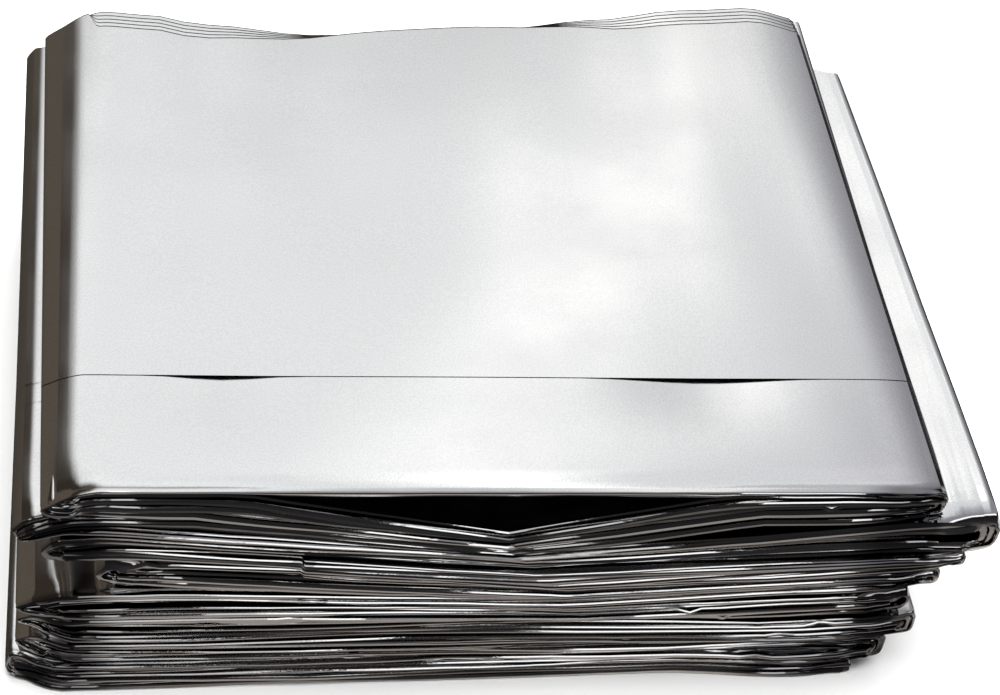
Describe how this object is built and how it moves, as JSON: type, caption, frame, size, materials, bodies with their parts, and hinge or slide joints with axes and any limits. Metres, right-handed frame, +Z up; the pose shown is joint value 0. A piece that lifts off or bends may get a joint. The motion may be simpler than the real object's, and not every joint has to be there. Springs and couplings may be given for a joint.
{
  "type": "folded emergency foil blanket",
  "caption": "Thin metallised film emergency blanket, zigzag folded into a loose flat stack, open ply edges at the front, hollow under the top panel, uneven staggered folds",
  "frame": {"origin": "centre of the bounding box, on the underside that rests on the surface", "axes": "+X along the layers between the folded ends, +Y from the open ply edges to the back, +Z up"},
  "size_m": [0.1472, 0.1132, 0.0428],
  "materials": {
    "foil": "satin metallised film"
  },
  "bodies": {
    "root": {"foil_blanket": "foil"}
  },
  "joints": []
}
